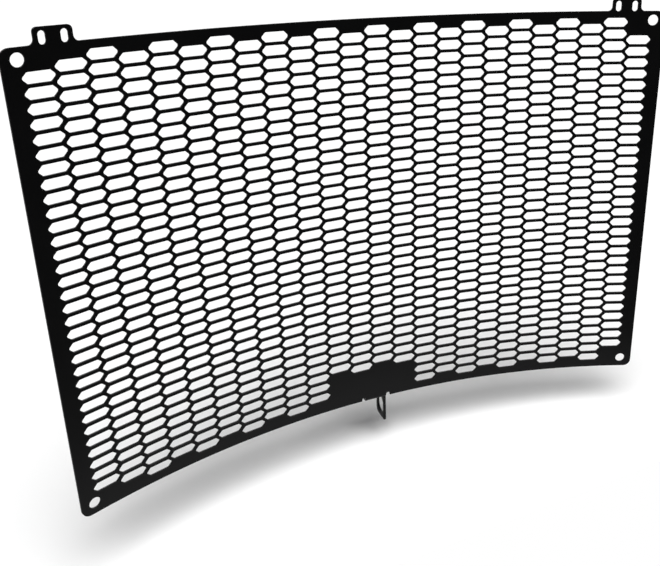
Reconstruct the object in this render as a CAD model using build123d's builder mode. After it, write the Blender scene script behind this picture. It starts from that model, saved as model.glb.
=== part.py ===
"""Motorcycle radiator guard: one laser-cut aluminium sheet, bent step by step to the radiator's curve.

Frame: the origin is the middle of the sheet's back face, which lies against the radiator. +X runs across
the motorcycle to the right of someone facing the guard, +Y points back to the radiator and +Z up.
"""

import os
from math import cos, sin, sqrt

from build123d import *

# Sheet, millimetres; distances along the curve are measured on the hollow front face
sheet_thickness = 1.5
sheet_arc = 424.0
sheet_height = 280.3
front_radius = 495.0
corner_radius = 5.5
pattern_lift = 0.5

# Round holes in the four corners
corner_hole_diameter = 7.3
corner_hole_side_inset = 8.5
corner_hole_end_inset = 6.7

# Ears on the top edge, each with two slots for a cable tie
ear_side_inset = 27.7
ear_width = 20.0
ear_rise = 8.7
ear_corner_radius = 2.5
ear_root_fillet = 3.0
tie_slot_width = 4.0
tie_slot_length = 7.0
tie_slot_pitch = 11.4
tie_slot_edge = 1.9

# Grille of long hexagons with 45 degree ends, in columns that are staggered by half a row
grille_columns = 14
grille_rows = 20
grille_side_margin = 8.5
grille_end_margin = 5.1
grille_web = 3.1
corner_land = 2.0
panel_arc = 68.0
panel_height = 26.0

# Tab folded back under the radiator from the lower edge, between two relief notches
neck_width = 16.4
neck_offset = 2.2
notch_width = 3.0
notch_depth = 2.6
tab_bend_radius = 1.5
tab_bend_drop = 1.6
tab_depth = 30.5
tab_corner_cut = 3.0

# Lug folded down from the right side of the tab, with an upright slot
lug_width = 15.8
lug_start = 2.4
lug_drop = 23.2
lug_overhang = 1.1
lug_bend_radius = 1.0
lug_front_corner_radius = 1.5
lug_back_corner_radius = 4.5
lug_slot_drop = 12.0
lug_slot_width = 10.5
lug_slot_length = 14.6

# Values that follow from the sizes above
half_arc = sheet_arc / 2
half_height = sheet_height / 2
cut_reach = 3 * sheet_thickness
ear_arc = half_arc - ear_side_inset
corner_hole_arc = half_arc - corner_hole_side_inset
corner_hole_height = half_height - corner_hole_end_inset
neck_left = neck_offset - neck_width / 2
neck_right = neck_offset + neck_width / 2
tab_bottom = -half_height - tab_bend_drop
tab_top = tab_bottom + sheet_thickness
tab_bend_height = tab_top + tab_bend_radius
lug_outer = neck_right + lug_overhang
lug_bend = lug_outer - sheet_thickness - lug_bend_radius
lug_bend_height = tab_bottom - lug_bend_radius
lug_middle = lug_start + lug_width / 2
lug_bottom = tab_bottom - lug_drop
lug_slot_height = tab_bottom - lug_slot_drop

# Hexagon pitches fill the field inside the margins, and the ends of a hexagon reach between its neighbours
row_pitch = (sheet_height - 2 * grille_end_margin + grille_web) / grille_rows
column_pitch = (sheet_arc - 2 * grille_side_margin - row_pitch / 2 + sqrt(2) * grille_web) / grille_columns
column_arcs = [(column - (grille_columns - 1) / 2) * column_pitch for column in range(grille_columns)]
hexagon_rise = (row_pitch - grille_web) / 2
hexagon_tip = column_pitch / 2 + row_pitch / 4 - grille_web / sqrt(2)
hexagon_flat = hexagon_tip - hexagon_rise
hexagon_corners = [
    (hexagon_tip, 0),
    (hexagon_flat, hexagon_rise),
    (-hexagon_flat, hexagon_rise),
    (-hexagon_tip, 0),
    (-hexagon_flat, -hexagon_rise),
    (hexagon_flat, -hexagon_rise),
]

# The sheet is bent by a small angle along the middle of each column, and stays flat at its ears and at its tab
flat_middle = abs(neck_offset) + neck_width / 2 + notch_width
flat_ends = half_arc - ear_side_inset - ear_width / 2 - 2 * ear_root_fillet
bend_arcs = [arc for arc in column_arcs if flat_middle < abs(arc) < flat_ends]
station_arcs = [-half_arc, *bend_arcs, half_arc]
middle_depth = front_radius * cos(min(bend_arcs, key=abs) / front_radius) + sheet_thickness


def front_point(arc):
    """Point of the front face's plan line where the curve and the bent sheet meet."""
    angle = arc / front_radius
    return Vector(front_radius * sin(angle), front_radius * cos(angle) - middle_depth, 0)


def sheet_plane(arc):
    """Plane on the front face at a place along the curve: x runs along the sheet, y is up and z to the front."""
    left = max(station for station in station_arcs if station < arc - sheet_thickness)
    right = min(station for station in station_arcs if station > arc + sheet_thickness)
    along = front_point(right) - front_point(left)
    if arc in bend_arcs:
        origin = front_point(arc)
    else:
        origin = front_point(left) + along * ((arc - left) / (right - left))
    return Plane(origin=origin, x_dir=along, z_dir=along.cross(Vector(0, 0, 1)))


def grille_heights(column):
    """Heights of the hexagons in one column, without those at the corner holes and on the bare panel."""
    count = grille_rows - column % 2
    heights = [(row - (count - 1) / 2) * row_pitch for row in range(count)]
    if column in (0, grille_columns - 1):
        side_gap = corner_hole_arc - abs(column_arcs[column]) - hexagon_flat
        end_gap = sqrt(2) * (corner_hole_diameter / 2 + corner_land) - side_gap
        heights = [height for height in heights if corner_hole_height - abs(height) - hexagon_rise > end_gap]
    if abs(column_arcs[column]) < panel_arc / 2:
        heights = [height for height in heights if height > panel_height - half_height]
    return [height + pattern_lift for height in heights]


# What is cut away above the top edge: a band over the whole width, less the rounded outlines of the two ears
with BuildPart() as ear_waste:
    with BuildSketch(Plane.XY.offset(half_height)):
        Rectangle(2 * sheet_arc, 2 * front_radius)
    extrude(amount=2 * ear_rise)
    for arc in (-ear_arc, ear_arc):
        with BuildSketch(sheet_plane(arc)):
            with Locations((0, half_height)):
                Rectangle(ear_width, ear_rise, align=(Align.CENTER, Align.MIN))
                Rectangle(ear_width + 4 * ear_root_fillet, ear_rise, align=(Align.CENTER, Align.MAX))
            levels = vertices().group_by(Axis.Y)
            fillet(levels[-1], ear_corner_radius)
            fillet(levels[1].sort_by(lambda vertex: abs(vertex.X))[:2], ear_root_fillet)
    extrude(amount=cut_reach, both=True, mode=Mode.SUBTRACT)

# Tab: a bend that runs on from the sheet, and a shelf that goes back under the radiator
with BuildPart() as tab:
    with BuildSketch(Plane.YZ.offset(neck_left)):
        with BuildLine():
            outer_bend = CenterArc((tab_bend_radius, tab_bend_height), tab_bend_radius + sheet_thickness, 180, 90)
            inner_bend = CenterArc((tab_bend_radius, tab_bend_height), tab_bend_radius, 180, 90)
            Line(outer_bend @ 0, inner_bend @ 0)
            Line(outer_bend @ 1, inner_bend @ 1)
        make_face()
    extrude(amount=neck_width)
    with BuildSketch(Plane.XY.offset(tab_bottom)):
        with Locations((neck_left, tab_bend_radius)):
            Rectangle(lug_bend - neck_left, tab_depth - tab_bend_radius, align=(Align.MIN, Align.MIN))
        chamfer(vertices().group_by(Axis.Y)[-1], tab_corner_cut)
    extrude(amount=sheet_thickness)

# Lug: a bend down along the side of the tab, and a plate with two rounded lower corners and its slot
with BuildPart() as lug:
    with BuildSketch(Plane.XZ.offset(-lug_start)):
        with BuildLine():
            lug_outer_bend = CenterArc((lug_bend, lug_bend_height), lug_bend_radius + sheet_thickness, 0, 90)
            lug_inner_bend = CenterArc((lug_bend, lug_bend_height), lug_bend_radius, 0, 90)
            Line(lug_outer_bend @ 0, lug_inner_bend @ 0)
            Line(lug_outer_bend @ 1, lug_inner_bend @ 1)
        make_face()
    extrude(amount=-lug_width)
    with BuildSketch(Plane.YZ.offset(lug_outer)):
        with Locations((lug_middle, lug_bottom)):
            Rectangle(lug_width, lug_bend_height - lug_bottom, align=(Align.CENTER, Align.MIN))
        fillet(vertices().group_by(Axis.Y)[0].sort_by(Axis.X)[0], lug_front_corner_radius)
        fillet(vertices().group_by(Axis.Y)[0].sort_by(Axis.X)[-1], lug_back_corner_radius)
        with Locations((lug_middle, lug_slot_height)):
            SlotOverall(lug_slot_length, lug_slot_width, rotation=90, mode=Mode.SUBTRACT)
    extrude(amount=-sheet_thickness)

# The whole guard: the bent sheet with its ears and rounded corners, the tab and lug in a gap in its lower edge,
# and last the slots, holes and grille
with BuildPart() as radiator_guard:
    with BuildSketch(Plane.XY.offset(-half_height)):
        with BuildLine():
            front_line = Polyline(*[front_point(arc) for arc in station_arcs])
            offset(front_line, sheet_thickness, side=Side.LEFT, kind=Kind.INTERSECTION)
        make_face()
    extrude(amount=sheet_height + ear_rise)
    add(ear_waste.part, mode=Mode.SUBTRACT)
    for side in (0, -1):
        fillet(faces().sort_by(Axis.X)[side].edges().sort_by(SortBy.LENGTH)[:2], corner_radius)
    with BuildSketch(sheet_plane(0)):
        with Locations((neck_offset, -half_height)):
            Rectangle(neck_width, tab_bend_height + half_height, align=(Align.CENTER, Align.MIN))
            with GridLocations(neck_width + notch_width, 0, 2, 1):
                SlotOverall(2 * notch_depth, notch_width, rotation=90)
    extrude(amount=cut_reach, both=True, mode=Mode.SUBTRACT)
    add(tab.part)
    add(lug.part)
    for arc in (-ear_arc, ear_arc):
        with BuildSketch(sheet_plane(arc)):
            with Locations((0, half_height + ear_rise - tie_slot_edge - tie_slot_length / 2)):
                with GridLocations(tie_slot_pitch, 0, 2, 1):
                    SlotOverall(tie_slot_length, tie_slot_width, rotation=90)
    for arc in (-corner_hole_arc, corner_hole_arc):
        with BuildSketch(sheet_plane(arc)):
            with Locations((0, corner_hole_height + pattern_lift), (0, pattern_lift - corner_hole_height)):
                Circle(corner_hole_diameter / 2)
    for column, arc in enumerate(column_arcs):
        with BuildSketch(sheet_plane(arc)):
            with Locations([(0, height) for height in grille_heights(column)]):
                Polygon(*hexagon_corners)
    extrude(amount=cut_reach, both=True, mode=Mode.SUBTRACT)

radiator_guard.part.label = "radiator_guard"
os.makedirs("parts", exist_ok=True)
export_step(radiator_guard.part, "parts/radiator_guard.step")
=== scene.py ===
"""Radiator guard for a motorcycle: one pierced sheet, rolled to the radiator's curve, on a white studio floor."""

import math

import bmesh
import bpy
from mathutils import Matrix, Vector


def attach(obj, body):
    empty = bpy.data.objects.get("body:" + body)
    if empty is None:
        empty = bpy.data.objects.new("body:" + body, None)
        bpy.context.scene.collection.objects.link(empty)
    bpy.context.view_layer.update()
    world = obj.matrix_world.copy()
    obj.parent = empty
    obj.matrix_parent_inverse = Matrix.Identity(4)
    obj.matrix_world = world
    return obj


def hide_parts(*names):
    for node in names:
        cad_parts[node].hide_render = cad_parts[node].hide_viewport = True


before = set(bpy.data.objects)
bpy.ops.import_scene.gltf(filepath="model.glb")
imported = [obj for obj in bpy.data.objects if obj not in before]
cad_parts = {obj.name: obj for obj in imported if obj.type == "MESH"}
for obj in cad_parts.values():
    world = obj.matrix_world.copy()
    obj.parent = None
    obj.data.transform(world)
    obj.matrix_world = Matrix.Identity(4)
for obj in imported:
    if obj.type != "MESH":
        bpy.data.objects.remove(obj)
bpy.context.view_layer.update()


# Powder coat
# The finished sheet is degreased, sprayed with black powder and baked. The film is satin, a little thicker and
# rounder at the cut edges, and has the fine ripple of melted powder all over.
def shader_node(tree, kind, place, **sockets):
    """A shader node with its input sockets set; a socket's spaces are written as underscores."""
    made = tree.nodes.new(kind)
    made.location = place
    for name, value in sockets.items():
        made.inputs[name.replace("_", " ")].default_value = value
    return made


coat_ripple = bpy.data.node_groups.new("coat_ripple", "ShaderNodeTree")
for name, size in (("Ripple Size", 0.0009), ("Cloud Size", 0.03)):
    size_socket = coat_ripple.interface.new_socket(name, in_out="INPUT", socket_type="NodeSocketFloat")
    size_socket.default_value = size
for name in ("Height", "Cloud"):
    coat_ripple.interface.new_socket(name, in_out="OUTPUT", socket_type="NodeSocketFloat")
ripple_in = shader_node(coat_ripple, "NodeGroupInput", (-800, 0))
ripple_out = shader_node(coat_ripple, "NodeGroupOutput", (400, 0))
ripple_place = shader_node(coat_ripple, "ShaderNodeTexCoord", (-800, 300))
for output, size, detail, height in (("Height", "Ripple Size", 2.0, 200), ("Cloud", "Cloud Size", 3.0, -200)):
    per_metre = shader_node(coat_ripple, "ShaderNodeMath", (-500, height))
    per_metre.operation = "DIVIDE"
    per_metre.inputs[0].default_value = 1.0
    noise = shader_node(coat_ripple, "ShaderNodeTexNoise", (-200, height), Detail=detail)
    coat_ripple.links.new(ripple_in.outputs[size], per_metre.inputs[1])
    coat_ripple.links.new(per_metre.outputs[0], noise.inputs["Scale"])
    coat_ripple.links.new(ripple_place.outputs["Object"], noise.inputs["Vector"])
    coat_ripple.links.new(noise.outputs["Fac"], ripple_out.inputs[output])

powder_coat = bpy.data.materials.new("powder_coat")
powder_coat.use_nodes = True
coat_tree = powder_coat.node_tree
coat_shader = coat_tree.nodes["Principled BSDF"]
coat_shader.inputs["Specular IOR Level"].default_value = 0.11
coat_group = shader_node(coat_tree, "ShaderNodeGroup", (-900, 0))
coat_group.node_tree = coat_ripple
coat_colour = shader_node(coat_tree, "ShaderNodeMix", (-500, 200))
coat_colour.data_type = "RGBA"
coat_colour.inputs["A"].default_value = (0.004, 0.004, 0.0042, 1)
coat_colour.inputs["B"].default_value = (0.007, 0.007, 0.0073, 1)
coat_gloss = shader_node(coat_tree, "ShaderNodeMapRange", (-500, -50), To_Min=0.4, To_Max=0.52)
coat_bump = shader_node(coat_tree, "ShaderNodeBump", (-500, -350), Strength=0.25, Distance=0.00004)
coat_tree.links.new(coat_group.outputs["Cloud"], coat_colour.inputs["Factor"])
coat_tree.links.new(coat_group.outputs["Cloud"], coat_gloss.inputs["Value"])
coat_tree.links.new(coat_group.outputs["Height"], coat_bump.inputs["Height"])
coat_tree.links.new(coat_colour.outputs["Result"], coat_shader.inputs["Base Color"])
coat_tree.links.new(coat_gloss.outputs["Result"], coat_shader.inputs["Roughness"])
coat_tree.links.new(coat_bump.outputs["Normal"], coat_shader.inputs["Normal"])

# Blank of the guard
# The outline is cut by laser from flat aluminium sheet in one go, with the ears, the tab and the lug still in
# the plane of the sheet. Sizes are in millimetres, and the sheet is laid out as seen from its front.
sheet_thickness = 1.5
half_arc = 212.0
half_height = 140.15
pattern_lift = 0.5
corner_radius = 5.5
corner_hole_across = 203.5
corner_hole_up = 133.45
corner_hole_radius = 3.65
ear_centre = 184.3
ear_half_width = 10.0
ear_rise = 8.7
ear_top = half_height + ear_rise
ear_corner_radius = 2.5
ear_root_fillet = 3.0
tie_slot_half_pitch = 5.7
tie_slot_radius = 2.0
tie_slot_half_length = 3.5
tie_slot_edge = 1.9
tie_slot_middle = ear_top - tie_slot_edge - tie_slot_half_length
neck_left = -6.0
neck_right = 10.4
notch_width = 3.0
notch_depth = 2.6
notch_top = notch_depth - half_height

# Folds of the tab and of the lug: each takes up a quarter turn about the middle of the sheet's thickness
tab_fold_radius = 1.5
tab_fold_drop = 1.6
tab_fold_height = -half_height - tab_fold_drop + sheet_thickness + tab_fold_radius
tab_fold_length = math.pi / 2 * (tab_fold_radius + sheet_thickness / 2)
shelf_height = tab_fold_height - tab_fold_length
shelf_depth = 29.0
shelf_end = shelf_height - shelf_depth
shelf_corner_cut = 3.0
lug_fold = 9.0
lug_fold_radius = 1.0
lug_fold_length = math.pi / 2 * (lug_fold_radius + sheet_thickness / 2)
lug_root = lug_fold + lug_fold_length
lug_start = 0.9
lug_width = 15.8
lug_length = 22.2
lug_high = shelf_height - lug_start
lug_low = lug_high - lug_width
lug_tip = lug_root + lug_length
lug_front_corner_radius = 1.5
lug_back_corner_radius = 4.5
lug_slot_reach = 11.0
lug_slot_half_length = 7.3
lug_slot_radius = 5.25


def cut_line(corners, longest_run=4.0, turn=math.radians(12)):
    """Points of a closed cut through corners of x, y and radius, rounded there and with long runs divided."""
    points = []
    for index, (x, y, radius) in enumerate(corners):
        here = Vector((x, y))
        if radius == 0:
            points.append(here)
            continue
        back = (Vector(corners[index - 1][:2]) - here).normalized()
        ahead = (Vector(corners[(index + 1) % len(corners)][:2]) - here).normalized()
        half = back.angle(ahead) / 2
        centre = here + (back + ahead).normalized() * (radius / math.sin(half))
        start = here + back * (radius / math.tan(half)) - centre
        end = here + ahead * (radius / math.tan(half)) - centre
        swing = start.angle_signed(end)
        steps = math.ceil(abs(swing) / turn)
        points += [centre + Matrix.Rotation(-swing * step / steps, 2) @ start for step in range(steps + 1)]
    divided = []
    for index, point in enumerate(points):
        run = points[(index + 1) % len(points)] - point
        if run.length > 1e-6:
            pieces = math.ceil(run.length / longest_run)
            divided += [point + run * (piece / pieces) for piece in range(pieces)]
    return divided


def opening_corners(x, y, half_width, half_tall, radius):
    """Corners for a rounded opening about a centre; a square with its half side as radius is a round hole."""
    return [(x + i * half_width, y + j * half_tall, radius) for i, j in ((-1, -1), (1, -1), (1, 1), (-1, 1))]


def ear_corners(middle):
    """Corners of one ear from right to left, as the outline runs anticlockwise along the top edge."""
    return [
        (middle + ear_half_width, half_height, ear_root_fillet),
        (middle + ear_half_width, ear_top, ear_corner_radius),
        (middle - ear_half_width, ear_top, ear_corner_radius),
        (middle - ear_half_width, half_height, ear_root_fillet),
    ]


blank_outline = [
    (-half_arc, -half_height, corner_radius),
    (neck_left - notch_width, -half_height, 0),
    (neck_left - notch_width, notch_top, notch_width / 2),
    (neck_left, notch_top, notch_width / 2),
    (neck_left, shelf_end + shelf_corner_cut, 0),
    (neck_left + shelf_corner_cut, shelf_end, 0),
    (lug_fold - shelf_corner_cut, shelf_end, 0),
    (lug_fold, shelf_end + shelf_corner_cut, 0),
    (lug_fold, lug_low, 0),
    (lug_tip, lug_low, lug_back_corner_radius),
    (lug_tip, lug_high, lug_front_corner_radius),
    (lug_fold, lug_high, 0),
    (lug_fold, shelf_height, 0),
    (neck_right, shelf_height, 0),
    (neck_right, notch_top, notch_width / 2),
    (neck_right + notch_width, notch_top, notch_width / 2),
    (neck_right + notch_width, -half_height, 0),
    (half_arc, -half_height, corner_radius),
    (half_arc, half_height, corner_radius),
    *ear_corners(ear_centre),
    *ear_corners(-ear_centre),
    (-half_arc, half_height, corner_radius),
]
lug_slot_place = (lug_root + lug_slot_reach, (lug_high + lug_low) / 2)
lug_slot = opening_corners(*lug_slot_place, lug_slot_half_length, lug_slot_radius, lug_slot_radius)
cut_lines = [cut_line(blank_outline), cut_line(lug_slot)]
for side in (-1, 1):
    for end in (-1, 1):
        hole_place = (side * corner_hole_across, end * corner_hole_up + pattern_lift)
        hole = opening_corners(*hole_place, corner_hole_radius, corner_hole_radius, corner_hole_radius)
        slot_place = (side * ear_centre + end * tie_slot_half_pitch, tie_slot_middle)
        slot = opening_corners(*slot_place, tie_slot_radius, tie_slot_half_length, tie_slot_radius)
        cut_lines += [cut_line(hole), cut_line(slot)]

blank_points = []
blank_edges = []
for line in cut_lines:
    first = len(blank_points)
    blank_points += [(point.x, point.y, 0) for point in line]
    blank_edges += [(first + i, first + (i + 1) % len(line)) for i in range(len(line))]
blank_mesh = bpy.data.meshes.new("blank")
blank_mesh.from_pydata(blank_points, blank_edges, [])
blank = bpy.data.objects.new("blank", blank_mesh)
bpy.context.scene.collection.objects.link(blank)

# Hexagon grille
# The same laser cuts the field of long hexagons with 45 degree ends, in staggered columns with a thin web of
# metal between them. The corners by the round holes and a panel in the middle of the lower edge stay whole.
corner_land = 2.0
grille_sizes = {
    "Columns": 24,
    "Rows": 34,
    "Column Pitch": 16.898,
    "Row Pitch": 8.0,
    "Web": 1.95,
    "Corner Rounding": 1.1,
    "Panel Half Width": 34.0,
    "Panel Top": -114.0,
    "Corner Hole Across": corner_hole_across,
    "Corner Hole Up": corner_hole_up,
    "Corner Land": corner_hole_radius + corner_land,
    "Pattern Lift": pattern_lift,
}
grille = bpy.data.node_groups.new("hexagon_grille", "GeometryNodeTree")
grille.is_modifier = True
grille.interface.new_socket("Geometry", in_out="INPUT", socket_type="NodeSocketGeometry")
grille_sockets = {}
for name, value in grille_sizes.items():
    kind = "NodeSocketInt" if isinstance(value, int) else "NodeSocketFloat"
    grille_sockets[name] = grille.interface.new_socket(name, in_out="INPUT", socket_type=kind)
grille.interface.new_socket("Geometry", in_out="OUTPUT", socket_type="NodeSocketGeometry")
grille_in = grille.nodes.new("NodeGroupInput")
grille_out = grille.nodes.new("NodeGroupOutput")


def grille_node(kind, *inputs, **settings):
    """A node of the grille's tree with its settings, and with its inputs linked or set in their order."""
    made = grille.nodes.new(kind)
    for name, value in settings.items():
        setattr(made, name, value)
    for place, value in enumerate(inputs):
        if isinstance(value, bpy.types.NodeSocket):
            grille.links.new(value, made.inputs[place])
        elif value is not None:
            made.inputs[place].default_value = value
    return made


def work_out(operation, *values):
    """The output of a math node of the grille's tree."""
    return grille_node("ShaderNodeMath", *values, operation=operation).outputs[0]


column_pitch = grille_in.outputs["Column Pitch"]
row_pitch = grille_in.outputs["Row Pitch"]
web = grille_in.outputs["Web"]
rise = work_out("MULTIPLY", work_out("SUBTRACT", row_pitch, web), 0.5)
half_reach = work_out("MULTIPLY_ADD", column_pitch, 0.5, work_out("MULTIPLY", row_pitch, 0.25))
tip = work_out("SUBTRACT", half_reach, work_out("MULTIPLY", web, math.sqrt(0.5)))
flat = work_out("SUBTRACT", tip, rise)

# One hexagon: a six-sided circle drawn out to its tips and flats, with rounded corners
six_sides = grille_node("GeometryNodeCurvePrimitiveCircle", 6, mode="RADIUS")
six_sides.inputs["Radius"].default_value = 1.0
corner_place = grille_node("ShaderNodeSeparateXYZ", grille_node("GeometryNodeInputPosition").outputs[0])
corner_x, corner_y = corner_place.outputs[0], corner_place.outputs[1]
past_flat = work_out("MULTIPLY_ADD", work_out("ABSOLUTE", corner_x), 2.0, -1.0)
drawn_x = work_out("MULTIPLY", work_out("SIGN", corner_x), work_out("MULTIPLY_ADD", past_flat, rise, flat))
drawn_y = work_out("MULTIPLY", work_out("DIVIDE", corner_y, math.sqrt(0.75)), rise)
drawn_place = grille_node("ShaderNodeCombineXYZ", drawn_x, drawn_y, 0.0)
drawn = grille_node("GeometryNodeSetPosition", six_sides.outputs[0], None, drawn_place.outputs[0])
rounded = grille_node("GeometryNodeFilletCurve", drawn.outputs[0], mode="POLY")
rounded.inputs["Count"].default_value = 2
rounded.inputs["Limit Radius"].default_value = True
grille.links.new(grille_in.outputs["Corner Rounding"], rounded.inputs["Radius"])

# The places of the hexagons: a grid whose odd columns are half a row lower
columns = grille_in.outputs["Columns"]
rows = grille_in.outputs["Rows"]
field_width = work_out("MULTIPLY", work_out("SUBTRACT", columns, 1.0), column_pitch)
field_height = work_out("MULTIPLY", work_out("SUBTRACT", rows, 1.0), row_pitch)
field = grille_node("GeometryNodeMeshGrid", field_width, field_height, columns, rows)
grid_place = grille_node("ShaderNodeSeparateXYZ", grille_node("GeometryNodeInputPosition").outputs[0])
from_left = work_out("MULTIPLY_ADD", field_width, 0.5, grid_place.outputs[0])
column_number = work_out("ROUND", work_out("DIVIDE", from_left, column_pitch))
odd = work_out("MODULO", column_number, 2.0)
half_row = work_out("MULTIPLY", work_out("MULTIPLY", odd, row_pitch), 0.5)
lift = work_out("SUBTRACT", grille_in.outputs["Pattern Lift"], half_row)
shift = grille_node("ShaderNodeCombineXYZ", 0.0, lift, 0.0)
staggered = grille_node("GeometryNodeSetPosition", field.outputs[0], None, None, shift.outputs[0])

# Hexagons that are left out: below the field, at the corner holes and on the bare panel
place = grille_node("ShaderNodeSeparateXYZ", grille_node("GeometryNodeInputPosition").outputs[0])
across = work_out("ABSOLUTE", place.outputs[0])
up = work_out("ABSOLUTE", place.outputs[1])
below_field = work_out("LESS_THAN", place.outputs[1], work_out("MULTIPLY_ADD", field_height, -0.5, -1.0))
side_gap = work_out("SUBTRACT", grille_in.outputs["Corner Hole Across"], across)
end_gap = work_out("SUBTRACT", grille_in.outputs["Corner Hole Up"], up)
tip_gap = work_out("SUBTRACT", work_out("ADD", side_gap, end_gap), tip)
slant_gap = work_out("MULTIPLY", tip_gap, math.sqrt(0.5))
at_corner = work_out("LESS_THAN", slant_gap, grille_in.outputs["Corner Land"])
in_panel_width = work_out("LESS_THAN", across, grille_in.outputs["Panel Half Width"])
in_panel_height = work_out("LESS_THAN", place.outputs[1], grille_in.outputs["Panel Top"])
on_panel = work_out("MULTIPLY", in_panel_width, in_panel_height)
left_out = work_out("MAXIMUM", below_field, work_out("MAXIMUM", at_corner, on_panel))
kept = grille_node("GeometryNodeDeleteGeometry", staggered.outputs[0], left_out, domain="POINT")

# The cuts together: the sheet is what lies inside the outline and outside every opening
openings = grille_node("GeometryNodeInstanceOnPoints", kept.outputs[0], None, rounded.outputs[0])
opening_lines = grille_node("GeometryNodeRealizeInstances", openings.outputs[0])
outline_lines = grille_node("GeometryNodeMeshToCurve", grille_in.outputs["Geometry"])
all_cuts = grille_node("GeometryNodeJoinGeometry")
grille.links.new(opening_lines.outputs[0], all_cuts.inputs[0])
grille.links.new(outline_lines.outputs[0], all_cuts.inputs[0])
pierced = grille_node("GeometryNodeFillCurve", all_cuts.outputs[0], mode="TRIANGLES")
coated = grille_node("GeometryNodeSetMaterial", pierced.outputs[0], None, powder_coat)
grille.links.new(coated.outputs[0], grille_out.inputs[0])


def plain_mesh(piece, name):
    """The piece's mesh with its modifiers worked in."""
    bpy.context.view_layer.update()
    shaped = piece.evaluated_get(bpy.context.evaluated_depsgraph_get())
    mesh = bpy.data.meshes.new_from_object(shaped)
    mesh.name = name
    return mesh


cutter = blank.modifiers.new("hexagon_grille", "NODES")
cutter.node_group = grille
for name, value in grille_sizes.items():
    cutter[grille_sockets[name].identifier] = value
pierced_mesh = plain_mesh(blank, "pierced_sheet")
bpy.data.objects.remove(blank)

# Rolled and folded guard
# The pierced sheet is rolled about an upright axis to the radiator's curve. A press folds the tab back under
# the radiator, and then the lug down from the tab's side; relief notches keep the lower edge from tearing.

# Sizes of the roll, whose front face has its middle at the apex, so that it runs through the frame's bend lines
front_radius = 495.0
front_apex = -1.289
fold_steps = 8
neck_margin = 1.0
fold_margin = 8.0
panel_lines = 9
panel_step = 4.0
panel_reach = 40.0
panel_high = -105.0
edge_film_width = 0.16
sharp_angle = math.radians(50)
rolled_facing = 0.995

work = bmesh.new()
work.from_mesh(pierced_mesh)


def score(place, axis, left, right, low, high):
    """Adds a line across the flat sheet, square to the axis, within a box, for the sheet to bend along."""
    faces = []
    for face in work.faces:
        middle = face.calc_center_median()
        if left < middle.x < right and low < middle.y < high:
            faces.append(face)
    edges = {edge for face in faces for edge in face.edges}
    verts = {vert for face in faces for vert in face.verts}
    geometry = faces + list(edges) + list(verts)
    bmesh.ops.bisect_plane(work, geom=geometry, plane_co=place, plane_no=axis, dist=1e-5)


across_axis = (1, 0, 0)
up_axis = (0, 1, 0)
neck_box = (neck_left - neck_margin, neck_right + neck_margin, shelf_end, notch_top + fold_margin)
lug_box = (neck_left, lug_tip, shelf_end, lug_high)
panel_box = (-panel_reach, panel_reach, -half_height, panel_high)
for step in range(fold_steps + 1):
    share = step / fold_steps
    score((0, tab_fold_height - share * tab_fold_length, 0), up_axis, *neck_box)
    score((lug_fold + share * lug_fold_length, 0, 0), across_axis, *lug_box)
for step in range(-panel_lines, panel_lines + 1):
    score((step * panel_step, 0, 0), across_axis, *panel_box)
bmesh.ops.recalc_face_normals(work, faces=work.faces)
if sum(face.normal.z for face in work.faces) < 0:
    bmesh.ops.reverse_faces(work, faces=work.faces)
work.to_mesh(pierced_mesh)
work.free()

guard = bpy.data.objects.new("guard", pierced_mesh)
bpy.context.scene.collection.objects.link(guard)
thickness = guard.modifiers.new("thickness", "SOLIDIFY")
thickness.thickness = sheet_thickness
thickness.offset = -1.0
edge_film = guard.modifiers.new("edge_film", "BEVEL")
edge_film.width = edge_film_width
edge_film.segments = 1
edge_film.limit_method = "ANGLE"
edge_film.angle_limit = sharp_angle
guard_mesh = plain_mesh(guard, "guard")
guard.modifiers.clear()
guard.data = guard_mesh


def rolled_and_folded(flat_place):
    """Where a point of the flat sheet goes: across, up and in front of the sheet become the place in the frame."""
    across, up, depth = flat_place.x, flat_place.y, -flat_place.z
    on_neck = neck_left - notch_width / 2 < across < neck_right + notch_width / 2
    behind = 0.0
    if up < -half_height - neck_margin or (on_neck and up < tab_fold_height):
        run = tab_fold_height - up
        swing = min(run / tab_fold_length, 1.0) * math.pi / 2
        side_run = max(across - lug_fold, 0.0) if run > tab_fold_length else 0.0
        if side_run > 0:
            across = lug_fold
        reach = tab_fold_radius + sheet_thickness - depth
        behind = tab_fold_radius + sheet_thickness - reach * math.cos(swing) + max(run - tab_fold_length, 0.0)
        up = tab_fold_height - reach * math.sin(swing)
        if side_run > 0:
            lug_swing = min(side_run / lug_fold_length, 1.0) * math.pi / 2
            lug_reach = lug_fold_radius + depth
            across += lug_reach * math.sin(lug_swing)
            up += lug_reach * math.cos(lug_swing) - lug_reach - max(side_run - lug_fold_length, 0.0)
        depth = 0.0
    angle = across / front_radius
    x = (front_radius + depth) * math.sin(angle)
    y = (front_radius + depth) * math.cos(angle) - front_radius + front_apex + behind
    return Vector((x, y, up)) / 1000


for vertex in guard_mesh.vertices:
    vertex.co = rolled_and_folded(vertex.co)
guard_mesh.shade_smooth()
guard_mesh.set_sharp_from_angle(angle=sharp_angle)

# The rolled faces are shaded as one smooth curve, whatever triangles they are made of
roll_axis = (front_apex - front_radius) / 1000


def from_roll_axis(place):
    """The level direction from the axis that the sheet is rolled about to a place."""
    return Vector((place.x, place.y - roll_axis, 0)).normalized()


corner_normals = [corner.vector.copy() for corner in guard_mesh.corner_normals]
for face in guard_mesh.polygons:
    facing = face.normal.dot(from_roll_axis(face.center))
    if abs(facing) > rolled_facing:
        for corner in face.loop_indices:
            corner_vertex = guard_mesh.vertices[guard_mesh.loops[corner].vertex_index]
            corner_normals[corner] = from_roll_axis(corner_vertex.co) * math.copysign(1, facing)
guard_mesh.normals_split_custom_set(corner_normals)
guard_mesh.materials.clear()
guard_mesh.materials.append(powder_coat)
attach(guard, "root")
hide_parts("radiator_guard")

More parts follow.
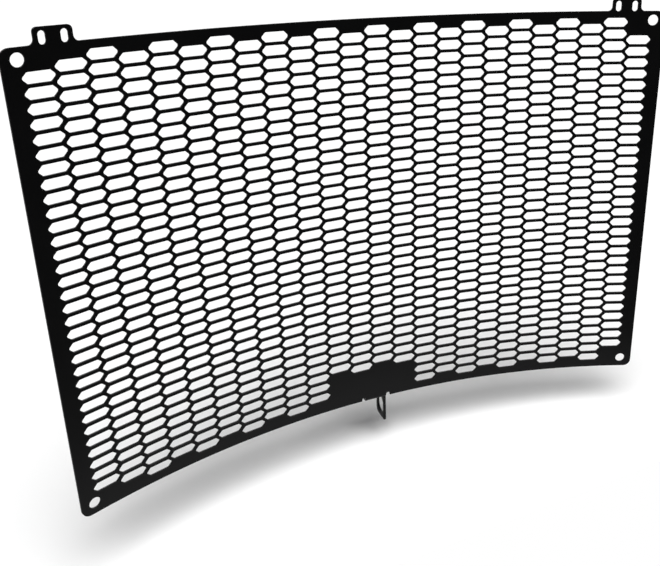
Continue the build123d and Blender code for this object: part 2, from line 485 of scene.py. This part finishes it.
# Floor and light
# The guard stands a little askew over a white sheet of paper, which ends not far in front of it. A large soft lamp
# hangs overhead. The room is light behind and dark in front, so the coat looks black and only its edges shine.
floor_height = -0.18
floor_slope = 0.04
floor_half_width = 6
floor_front = -0.12
floor_back = 8
floor_plan = (
    (-floor_half_width, floor_front),
    (floor_half_width, floor_front),
    (floor_half_width, floor_back),
    (-floor_half_width, floor_back),
)
floor_corners = [(x, y, floor_height + floor_slope * x) for x, y in floor_plan]
floor_mesh = bpy.data.meshes.new("floor")
floor_mesh.from_pydata(floor_corners, [], [(0, 1, 2, 3)])
floor = bpy.data.objects.new("floor", floor_mesh)
bpy.context.scene.collection.objects.link(floor)
paper = bpy.data.materials.new("paper")
paper.use_nodes = True
paper_tree = paper.node_tree
paper_tree.nodes.remove(paper_tree.nodes["Principled BSDF"])
paper_matt = shader_node(paper_tree, "ShaderNodeBsdfDiffuse", (-400, 150), Color=(0.92, 0.92, 0.92, 1))
paper_tree.links.new(paper_matt.outputs[0], paper_tree.nodes["Material Output"].inputs["Surface"])
floor_mesh.materials.append(paper)

overhead = bpy.data.lights.new("overhead", "SUN")
overhead.energy = 3.85
overhead.angle = math.radians(49)
overhead_way = Vector((0.05, 0.37, -1))
overhead_stand = bpy.data.objects.new("overhead", overhead)
overhead_stand.rotation_euler = overhead_way.to_track_quat("-Z", "Y").to_euler()
bpy.context.scene.collection.objects.link(overhead_stand)

# The room: its share of light rises toward the upper part of the back wall
world = bpy.data.worlds.new("studio")
world.use_nodes = True
bpy.context.scene.world = world
world_tree = world.node_tree
world_light = world_tree.nodes["Background"]
world_light.inputs["Color"].default_value = (1, 1, 1, 1)
back_wall = Vector((0.4356, 0.9001, 0.4)).normalized()
way = shader_node(world_tree, "ShaderNodeTexCoord", (-900, 0))
toward_back = shader_node(world_tree, "ShaderNodeVectorMath", (-700, 0))
toward_back.operation = "DOT_PRODUCT"
toward_back.inputs[1].default_value = back_wall
back_share = shader_node(
    world_tree, "ShaderNodeMapRange", (-500, 0), From_Min=0.5, From_Max=0.85, To_Min=0.01, To_Max=1.0
)
world_tree.links.new(way.outputs["Generated"], toward_back.inputs[0])
world_tree.links.new(toward_back.outputs["Value"], back_share.inputs["Value"])


def world_math(operation, first, second, place):
    """The output of a math node of the world's tree."""
    made = shader_node(world_tree, "ShaderNodeMath", place)
    made.operation = operation
    for socket, value in zip(made.inputs, (first, second)):
        if isinstance(value, bpy.types.NodeSocket):
            world_tree.links.new(value, socket)
        else:
            socket.default_value = value
    return made.outputs[0]


# Who sees what: the coat mirrors a bright back wall, matt surfaces get a dim one, and the camera sees plain white
mirror_level = 2.5
matt_level = 0.15
ray = shader_node(world_tree, "ShaderNodeLightPath", (-900, 400))
mirrored = world_math("MAXIMUM", ray.outputs["Is Glossy Ray"], ray.outputs["Is Transmission Ray"], (-600, 300))
mirror_light = world_math("MULTIPLY", mirrored, mirror_level, (-500, 300))
wall_level = world_math("MAXIMUM", mirror_light, matt_level, (-400, 300))
room_level = world_math("MULTIPLY", wall_level, back_share.outputs["Result"], (-250, 150))
world_level = world_math("MAXIMUM", room_level, ray.outputs["Is Camera Ray"], (-100, 150))
world_tree.links.new(world_level, world_light.inputs["Strength"])

# Camera
# It stands in front and to the left of the guard and a little above it, at the photograph's viewing angle.
# Its lens is shifted, as if the picture were cut from a larger one.
camera = bpy.data.cameras.new("camera")
camera.sensor_width = 36.0
camera.lens = 43.4
camera.shift_x = -0.1499
camera.shift_y = -0.1062
camera.clip_start = 0.01
camera_stand = bpy.data.objects.new("camera", camera)
camera_place = (-0.1866, -0.4816, 0.1999)
view_right = Vector((0.9007, -0.4345, 0.0033)).normalized()
view_forward = Vector((0.4084, 0.8439, -0.3479)).normalized()
view_up = view_right.cross(view_forward)
turn = Matrix((view_right, view_up, -view_forward)).transposed()
camera_stand.matrix_world = Matrix.Translation(camera_place) @ turn.to_4x4()
bpy.context.scene.collection.objects.link(camera_stand)
bpy.context.scene.camera = camera_stand
bpy.context.scene.view_settings.view_transform = "Standard"
